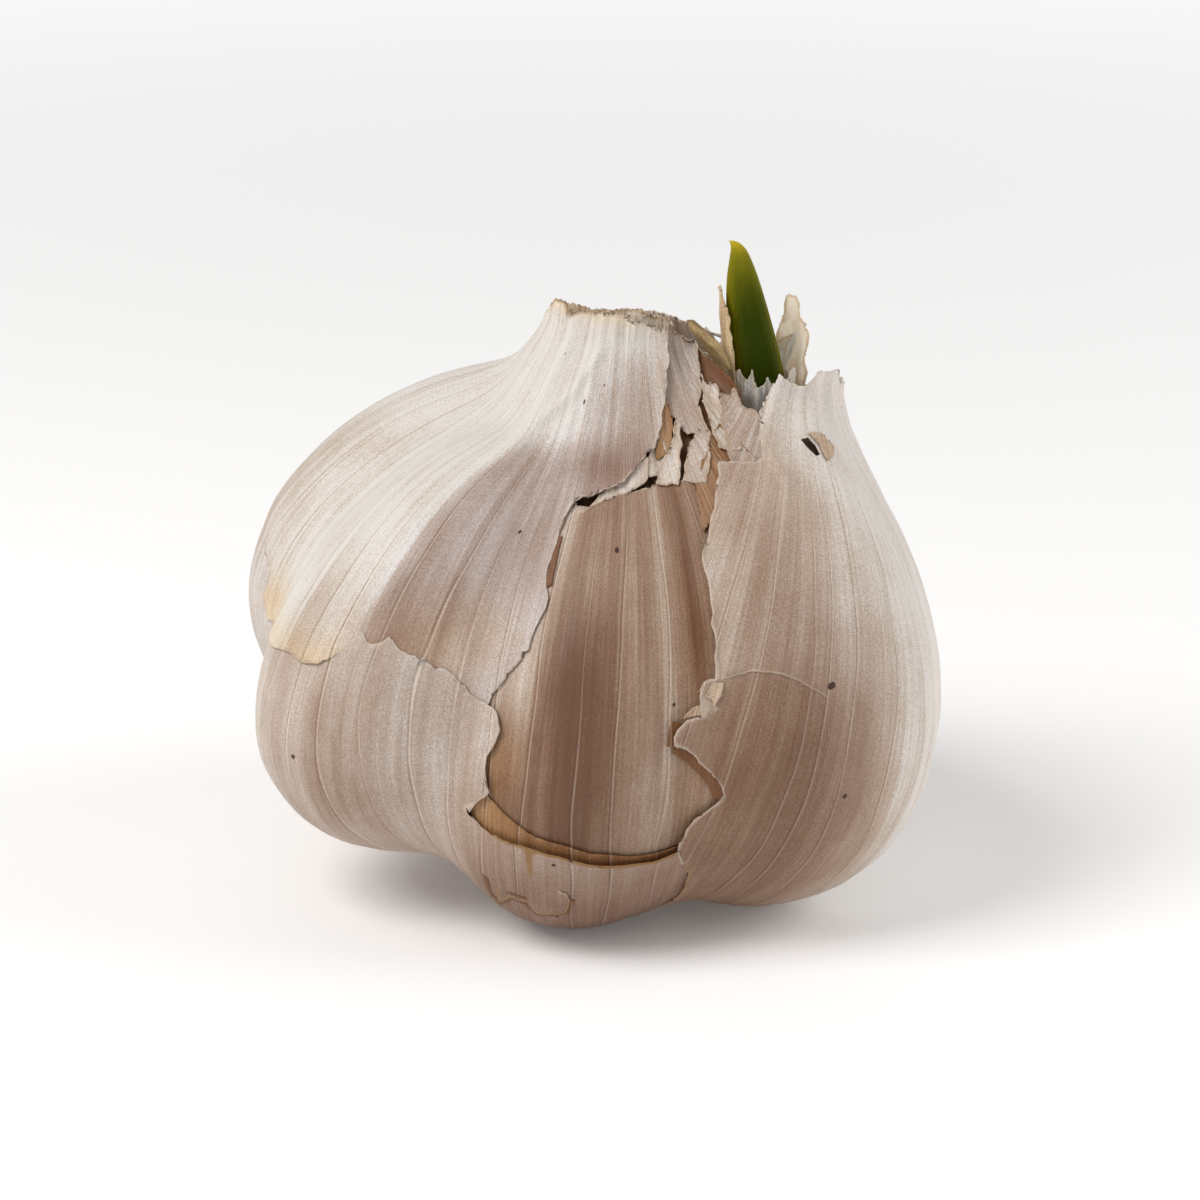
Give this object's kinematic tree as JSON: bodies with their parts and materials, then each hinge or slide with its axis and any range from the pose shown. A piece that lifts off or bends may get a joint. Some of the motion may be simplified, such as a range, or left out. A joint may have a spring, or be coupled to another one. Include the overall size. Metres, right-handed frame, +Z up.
{
  "type": "garlic bulb",
  "caption": "Sprouting garlic bulb: fat cloves in torn papery skins on a trimmed root plate, with a dried neck and a green shoot.",
  "frame": {"origin": "middle of the flat underside of the root plate, which the bulb rests on", "axes": "+Z up through the bulb towards its neck, front of the bulb towards -Y, shoot on the +X side"},
  "size_m": [0.0632, 0.0578, 0.0575],
  "materials": {
    "outer_skin": "dry papery leaf skin, off-white with mauve and tan patches, slightly translucent",
    "inner_skin": "thin dry leaf skin, brown-mauve with fine veins, satin",
    "clove": "smooth cream clove in its own tight skin",
    "root": "dry corky, matt",
    "stalk": "dry fibrous straw, matt",
    "sheath": "dry tan leaf sheath, matt",
    "shoot": "fresh leaf, satin, green with a yellow tip"
  },
  "bodies": {
    "root": {"root_plate": "root", "stem": "stalk", "dried_strand": "stalk", "clove_front_right": "clove", "clove_front": "clove", "clove_front_left": "clove", "clove_left": "clove", "clove_back_left": "clove", "clove_back": "clove", "clove_right": "clove", "inner_skin": "inner_skin", "skin_lower": "outer_skin", "skin_left": "outer_skin", "skin_back": "outer_skin", "skin_right": "outer_skin", "neck_shard": "inner_skin", "shard_1": "inner_skin", "shard_2": "inner_skin", "shard_3": "inner_skin", "shard_4": "inner_skin", "sprout_sheath": "sheath", "sprout": "shoot"}
  },
  "joints": []
}
